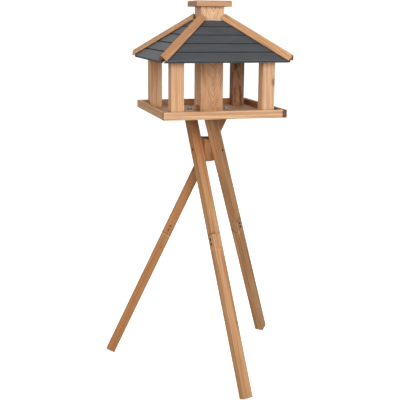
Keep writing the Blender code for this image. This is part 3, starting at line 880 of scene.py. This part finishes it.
def socket_bolt(node, leg, with_nut):
    """A domed socket-head bolt, and for a lap bolt the nut on the leg's inner face: one profile carried
    round the bolt's axis, from the bottom of the socket over the dome, down the shank and out over the
    nut."""
    directions = bolt_frame(leg)
    origin = SILO_AXIS + UP * HUB_LEVEL
    local = points_of(node, directions, origin)
    low, high = local.min(0), local.max(0)
    centre = (low + high) / 2
    face = high[2] - HEAD_HEIGHT
    dome = np.linspace(0, 0.62, 6) * math.pi / 2
    dome_rise = (HEAD_HEIGHT - 0.0004) / math.sin(dome[-1])
    head = [(HEAD_RADIUS * math.cos(a), face + 0.0004 + dome_rise * math.sin(a)) for a in dome]
    profile = [(0.0030, face)]
    bevel = [(HEAD_RADIUS - 0.0003, face)]
    rings, facets = [], []
    if with_nut:
        nut = low[2]
        rings += [(0.0020, nut), (0.0027, nut + 0.0006), (0.003, nut + 0.0024), (0.0052, nut + 0.0024)]
        facets += [0, 0, 0, 0.2]
        rings += [(0.0062, nut + 0.0030), (0.0065, nut + 0.0036)]
        rings += [(0.0065, nut + 0.0066), (0.0060, nut + 0.0072)]
        facets += [0.7, 1, 1, 0.6]
        rings += [(0.0031, nut + 0.0073)]
        facets += [0]
    else:
        rings += [(0.0022, low[2]), (0.003, low[2] + 0.0008)]
        facets += [0, 0]
    rings += profile + bevel + head
    facets += [0] * (len(profile) + len(bevel) + len(head))
    rings += [(0.0019, high[2]), (0.0018, high[2] - 0.0002)]
    rings += [(0.0018, high[2] - 0.0013), (0.0005, high[2] - 0.0014)]
    facets += [0.6, 1, 1, 1]
    made = turned(rings, facets)
    made[:, :, :2] += centre[:2]
    mesh = closed_mesh(f"socket_bolt_{node}", made @ directions + origin)
    return finished(node, mesh, dark_zinc)


for leg in LEGS:
    socket_bolt(f"hub_bolt_{leg}", leg, False)
    for place in ("upper", "lower"):
        socket_bolt(f"lap_bolt_{leg}_{place}", leg, True)


def tray_nut(node):
    """A washer, a chamfered six-sided nut and the threaded stud through it, as one profile carried round
    an upright axis. The stud's radius rises and falls by the thread's depth as height plus turn advances
    by one pitch."""
    low, high = (np.array(corner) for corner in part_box(node))
    flat = points_of(node, ALONG_Z, np.zeros(3))
    top = flat[flat[:, 2] > high[2] - 0.002]
    centre = (top.min(0) + top.max(0))[:2] / 2
    seat = FLOOR_TOP + GAP
    bottom = low[2]
    rings = [(0.0022, bottom), (0.0029, bottom + 0.0008), (0.0029, seat), (0.0084, seat)]
    rings += [(0.009, seat + 0.0003), (0.009, seat + 0.0012), (0.0086, seat + 0.0016)]
    rings += [(0.0060, seat + 0.0017), (0.0065, seat + 0.0022)]
    rings += [(0.0065, seat + 0.0072), (0.0060, seat + 0.0080), (0.0034, seat + 0.0081)]
    facets = [0, 0, 0, 0, 0, 0, 0, 0.5, 1, 1, 0.5, 0]
    stud = np.arange(seat + 0.0081, high[2] - 0.0006, 0.00025)
    rings += [(0.0030, z) for z in stud] + [(0.0022, high[2])]
    facets += [0] * (len(stud) + 1)
    made = turned(rings, facets)
    angle = np.linspace(0, 1, TURN_STEPS, endpoint=False)
    threaded = np.array([z > seat + 0.0081 and z < high[2] - 0.0001 for _, z in rings])
    wave = np.abs(((made[:, :, 2] / 0.001 + angle) % 1) - 0.5) * 2
    scale = 1 - threaded[:, None] * wave * 0.14
    made[:, :, :2] = made[:, :, :2] * scale[:, :, None] + centre
    mesh = closed_mesh(f"washer_and_nut_{node}", made)
    return finished(node, mesh, bright_zinc)


def low_headed_bolt(node):
    """A round, low-domed head and its shank: one profile carried round an upright axis, down from the
    dome."""
    low, high = (np.array(corner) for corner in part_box(node))
    centre = ((low + high) / 2)[:2]
    reach, seat, top = (high[0] - low[0]) / 2, FLOOR_TOP + GAP, high[2]
    bend = np.linspace(0, 1, 7) * math.pi / 2
    rings = [(0.0022, low[2]), (0.0029, low[2] + 0.0008), (0.0029, seat)]
    rings += [(reach - 0.0003, seat), (reach, seat + 0.0003)]
    rise = top - seat - 0.0006
    rings += [(0.002 + (reach - 0.002) * math.cos(a), seat + 0.0006 + rise * math.sin(a)) for a in bend]
    made = turned(rings)
    made[:, :, :2] += centre
    mesh = closed_mesh(f"low_head_{node}", made)
    return finished(node, mesh, bright_zinc)


for leg in ("front", "left"):
    tray_nut(f"tray_bolt_{leg}")
low_headed_bolt("tray_bolt_right")


# ---------------------------------------------------------------- floor, light and camera


def pale_floor():
    mesh = bpy.data.meshes.new("studio_floor")
    half = 30.0
    corners = [(x, y, 0) for x, y in rectangle((-half, -half), (half, half))]
    mesh.from_pydata(corners, [], [(0, 1, 2, 3)])
    floor = bpy.data.objects.new("studio_floor", mesh)
    bpy.context.scene.collection.objects.link(floor)
    recipe = Recipe("pale_studio_floor")
    place = recipe.node("TexCoord").outputs["Object"]
    cloud = recipe.noise(place, (0.8, 0.8, 0.8), 2.0).outputs["Fac"]
    cloud_share = recipe.between(cloud, 0.3, 0.7)
    recipe.set("Base Color", recipe.mix(cloud_share, (0.9, 0.9, 0.9, 1), (0.93, 0.93, 0.93, 1)))
    recipe.set("Roughness", 0.9)
    recipe.set("Specular IOR Level", 0.1)
    recipe.set("Emission Color", (1, 1, 1, 1))
    recipe.set("Emission Strength", 0.62)
    mesh.materials.append(recipe.material)
    # Otherwise the pale floor would light the undersides as strongly as the lamps light the rest.
    floor.visible_diffuse = False
    floor.visible_glossy = False
    return floor


def soft_light(name, place, target, size, power, colour=(1, 1, 1)):
    light = bpy.data.lights.new(name, "AREA")
    light.shape = "RECTANGLE"
    light.size, light.size_y = size
    light.energy = power
    light.color = colour
    obj = bpy.data.objects.new(name, light)
    bpy.context.scene.collection.objects.link(obj)
    place, target = np.array(place, float), np.array(target, float)
    backwards = unit(place - target)
    right = unit(np.cross(UP, backwards))
    rows = np.array([right, np.cross(backwards, right), backwards])
    place_by_rows(obj, rows, place)
    return obj


def place_by_rows(obj, rows, place):
    """Turns the object so that its X, Y and Z are the three rows, and moves it to the place."""
    matrix = np.eye(4)
    matrix[:3, :3] = rows.T
    matrix[:3, 3] = place
    obj.matrix_world = Matrix(matrix.tolist())


pale_floor()
soft_light("key_light", (0.1, -4.2, 2.0), (0.0, 0.05, 0.8), (2.2, 2.2), 125)
soft_light("fill_light", (-3.2, -2.4, 1.6), (0.0, 0.05, 0.8), (2.4, 2.4), 62)
rear_light = soft_light("rear_light", (0.6, 3.8, 2.2), (0.0, 0.05, 0.9), (2.4, 1.6), 45)
rear_light.visible_glossy = False  # it would glare on the roof, which it grazes


ROOM_BELOW, ROOM_WALLS, ROOM_CEILING = 0.2, 0.72, 0.45


def white_studio():
    """The room's own light: brightest in a band above the horizon, where the white walls stand, dimmer
    from the ceiling and dimmest from below. The camera sees plain white."""
    world = bpy.data.worlds.new("white_studio")
    bpy.context.scene.world = world
    world.use_nodes = True
    tree = world.node_tree
    place = tree.nodes.new("ShaderNodeTexCoord")
    apart = tree.nodes.new("ShaderNodeSeparateXYZ")
    ramp = tree.nodes.new("ShaderNodeValToRGB")
    span = tree.nodes.new("ShaderNodeMapRange")
    span.inputs["From Min"].default_value = -1
    tree.links.new(place.outputs["Generated"], apart.inputs[0])
    tree.links.new(apart.outputs["Z"], span.inputs["Value"])
    tree.links.new(span.outputs["Result"], ramp.inputs["Fac"])
    stops = [(0.0, ROOM_BELOW), (0.46, ROOM_BELOW), (0.52, ROOM_WALLS), (0.66, ROOM_WALLS)]
    stops += [(0.85, ROOM_CEILING)]
    elements = ramp.color_ramp.elements
    while len(elements) < len(stops):
        elements.new(0.5)
    for element, (at, light) in zip(elements, stops):
        element.position = at
        element.color = (light, light, light, 1)
    sky = tree.nodes["Background"]
    tree.links.new(ramp.outputs["Color"], sky.inputs["Color"])
    backdrop = tree.nodes.new("ShaderNodeBackground")
    backdrop.inputs["Color"].default_value = (1, 1, 1, 1)
    backdrop.inputs["Strength"].default_value = 1.05
    seen = tree.nodes.new("ShaderNodeLightPath")
    chosen = tree.nodes.new("ShaderNodeMixShader")
    tree.links.new(seen.outputs["Is Camera Ray"], chosen.inputs[0])
    tree.links.new(sky.outputs[0], chosen.inputs[1])
    tree.links.new(backdrop.outputs[0], chosen.inputs[2])
    tree.links.new(chosen.outputs[0], tree.nodes["World Output"].inputs["Surface"])


white_studio()
bpy.context.scene.view_settings.view_transform = "Standard"

CAMERA_PLACE = SILO_AXIS + (-0.8036, -2.7074, 1.2709)
CAMERA_TURN, CAMERA_DIP, CAMERA_ROLL = math.radians(15.99), math.radians(12.96), math.radians(0.51)
CAMERA_LENS = 70.95  # on a 36 mm wide sensor
camera = bpy.data.objects.new("camera", bpy.data.cameras.new("camera"))
camera.data.sensor_width = 36
camera.data.lens = CAMERA_LENS
bpy.context.scene.collection.objects.link(camera)
level_view = np.array([math.sin(CAMERA_TURN), math.cos(CAMERA_TURN), 0])
forward = level_view * math.cos(CAMERA_DIP) - UP * math.sin(CAMERA_DIP)
right = unit(np.cross(forward, UP))
above = np.cross(right, forward)
rolled_right = right * math.cos(CAMERA_ROLL) + above * math.sin(CAMERA_ROLL)
rolled_up = above * math.cos(CAMERA_ROLL) - right * math.sin(CAMERA_ROLL)
place_by_rows(camera, np.array([rolled_right, rolled_up, -forward]), CAMERA_PLACE)
bpy.context.scene.camera = camera
